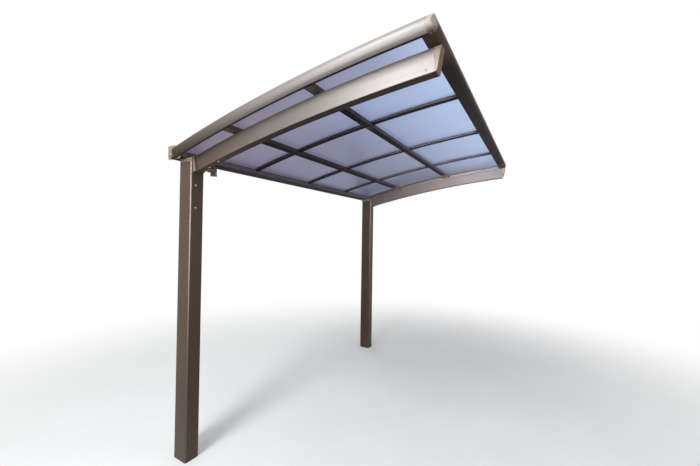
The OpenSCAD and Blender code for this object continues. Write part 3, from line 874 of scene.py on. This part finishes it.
def cap_seals():
    """Both cap joint lines as one piece, open in the middle."""
    z = POST_HEIGHT - CAP_HEIGHT
    half, proud, deep = 0.0009, 0.00015, 0.002
    parts = []
    for _, out in HALVES:
        y = mirrored_y(0.0, out)
        loops = []
        for height, grow in ((z - half, -deep), (z - half, proud), (z + half, proud),
                             (z + half, -deep)):
            outline = rounded_outline(POST_DEPTH + 2 * grow, POST_WIDTH + 2 * grow,
                                      POST_CORNER)
            loops.append([(px, py + y, height) for px, py in outline])
        parts.append(skin(loops, closed=True))
    piece("post_cap_seals", *merge(parts), seal, "cap_metal")


# Studio.

FLOOR_MIDDLE = (0.8, 1.3)
FLOOR_SIZE = 60.0
FADE_NEAR, FADE_FAR, FADE_LEAST = 1.5, 5.5, 0.15


def studio_floor():
    """A pale floor that fades to white away from the object."""
    s = Shader("floor_pale")
    grain = s.noise(s.coords, 2.0, 3.0)
    tone = s.blend(s.spread(grain, 0.3, 0.7), *FLOOR_TONES)
    paths = s.add("ShaderNodeLightPath").outputs
    seen = s.math("MAXIMUM", paths["Is Camera Ray"], paths["Is Glossy Ray"])
    seen = s.math("MAXIMUM", seen, paths["Is Transmission Ray"])
    x, y, _ = s.split(s.coords)
    dx = s.math("SUBTRACT", x, FLOOR_MIDDLE[0])
    dy = s.math("SUBTRACT", y, FLOOR_MIDDLE[1])
    away = s.math("SQRT", s.plus(s.times(dx, dx), s.times(dy, dy)))
    soft = s.add("ShaderNodeMapRange", {0: away, 1: FADE_NEAR, 2: FADE_FAR, 3: FADE_LEAST,
                 4: 1.0}, interpolation_type="SMOOTHERSTEP").outputs[0]
    lit = s.add("ShaderNodeBsdfDiffuse", {"Color": tone}).outputs[0]
    dim = s.add("ShaderNodeBsdfDiffuse", {"Color": FLOOR_UNSEEN_TONE}).outputs[0]
    white = s.add("ShaderNodeEmission", {"Color": (1, 1, 1, 1), "Strength": 1.0}).outputs[0]
    own = s.add("ShaderNodeMixShader", {0: seen, 1: dim, 2: lit}).outputs[0]
    both = s.add("ShaderNodeMixShader", {0: s.times(soft, seen), 1: own, 2: white}).outputs[0]
    s.add("ShaderNodeOutputMaterial", {"Surface": both})
    mesh = bpy.data.meshes.new("floor")
    corners_xy = ((-1, -1), (1, -1), (1, 1), (-1, 1))
    mesh.from_pydata([(x * FLOOR_SIZE, y * FLOOR_SIZE, 0) for x, y in corners_xy],
                     [], [(0, 1, 2, 3)])
    mesh.materials.append(s.material)
    floor = bpy.data.objects.new("floor", mesh)
    bpy.context.scene.collection.objects.link(floor)


def studio_world(level):
    """White behind everything that is seen; soft grey light for the rest."""
    world = bpy.data.worlds.new("studio")
    bpy.context.scene.world = world
    world.use_nodes = True
    tree = world.node_tree
    tree.nodes.clear()
    new, link = tree.nodes.new, tree.links.new
    paths = new("ShaderNodeLightPath").outputs
    seen = paths["Is Camera Ray"]
    for other in ("Is Glossy Ray", "Is Transmission Ray"):
        larger = new("ShaderNodeMath")
        larger.operation = "MAXIMUM"
        link(seen, larger.inputs[0])
        link(paths[other], larger.inputs[1])
        seen = larger.outputs[0]
    soft, white = new("ShaderNodeBackground"), new("ShaderNodeBackground")
    soft.inputs["Color"].default_value = (0.96, 0.98, 1.0, 1.0)
    soft.inputs["Strength"].default_value = level
    white.inputs["Color"].default_value = (1.0, 1.0, 1.0, 1.0)
    mixed = new("ShaderNodeMixShader")
    link(seen, mixed.inputs[0])
    link(soft.outputs[0], mixed.inputs[1])
    link(white.outputs[0], mixed.inputs[2])
    link(mixed.outputs[0], new("ShaderNodeOutputWorld").inputs[0])


def area_light(name, at, aim, size, watts, colour=(1.0, 1.0, 1.0), through_panels=True,
               spread=180.0):
    """A soft rectangular lamp; spread is the angle that its grid lets through."""
    lamp = bpy.data.lights.new(name, "AREA")
    lamp.shape, lamp.size, lamp.size_y = "RECTANGLE", size[0], size[1]
    lamp.energy, lamp.color, lamp.spread = watts, colour, math.radians(spread)
    made = bpy.data.objects.new(name, lamp)
    made.location = at
    made.rotation_euler = (Vector(aim) - Vector(at)).to_track_quat("-Z", "Y").to_euler()
    made.visible_camera, made.visible_transmission = False, through_panels
    bpy.context.scene.collection.objects.link(made)


def studio():
    """Floor, surround and lamps: each lamp's place, aim, size in metres and watts."""
    studio_floor()
    studio_world(0.30)
    sky = (0.93, 0.975, 1.0)
    area_light("key", (0.45, -2.9, 4.4), (1.2, 0.0, 2.3), (1.6, 2.2), 168, sky)
    area_light("side_key", (-1.3, -2.9, 3.2), (0.8, 0.0, 2.2), (1.7, 3.0), 8, sky)
    area_light("low_key", (0.5, -3.0, 1.9), (1.5, -0.1, 2.3), (1.1, 2.4), 78, sky)
    area_light("far_fill", (2.6, -2.0, 1.3), (1.1, 2.6, 2.25), (0.8, 0.6), 14, spread=26.0)
    area_light("front", (6.0, 0.8, 2.6), (0.8, 1.3, 1.2), (3.0, 2.6), 60)
    area_light("top", (0.4, 0.6, 6.2), (0.8, 1.2, 2.0), (5.0, 5.0), 110, through_panels=False)
    area_light("rear_fill", (-3.4, 4.4, 2.4), (0.4, 1.4, 1.4), (3.0, 2.4), 50,
               through_panels=False)


def photo_camera():
    """The camera at the photograph's place, with its small roll."""
    sin_y, cos_y = math.sin(CAMERA_YAW), math.cos(CAMERA_YAW)
    sin_p, cos_p = math.sin(CAMERA_PITCH), math.cos(CAMERA_PITCH)
    level_right = Vector((cos_y, sin_y, 0.0))
    forward = Vector((-sin_y * cos_p, cos_y * cos_p, sin_p))
    level_up = level_right.cross(forward)
    sin_r, cos_r = math.sin(CAMERA_ROLL), math.cos(CAMERA_ROLL)
    right = level_right * cos_r + level_up * sin_r
    up = level_up * cos_r - level_right * sin_r
    data = bpy.data.cameras.new("photo_camera")
    data.sensor_fit = "HORIZONTAL"
    data.sensor_width = SENSOR_WIDTH
    data.lens = FOCAL_PIXELS / PHOTO_WIDTH * SENSOR_WIDTH
    data.clip_start, data.clip_end = 0.05, 200.0
    camera = bpy.data.objects.new("photo_camera", data)
    matrix = Matrix((right, up, -forward)).transposed().to_4x4()
    matrix.translation = CAMERA_AT
    camera.matrix_world = matrix
    bpy.context.scene.collection.objects.link(camera)
    bpy.context.scene.camera = camera


# Build.

dress_nodes()
post_bolts()
beam_screws()
purlin_screws()
cover_screws()
corner_screws()
clip_screws()
roof_seals()
edge_seals()
cap_seals()
studio()
photo_camera()
bpy.context.scene.view_settings.view_transform = "Standard"
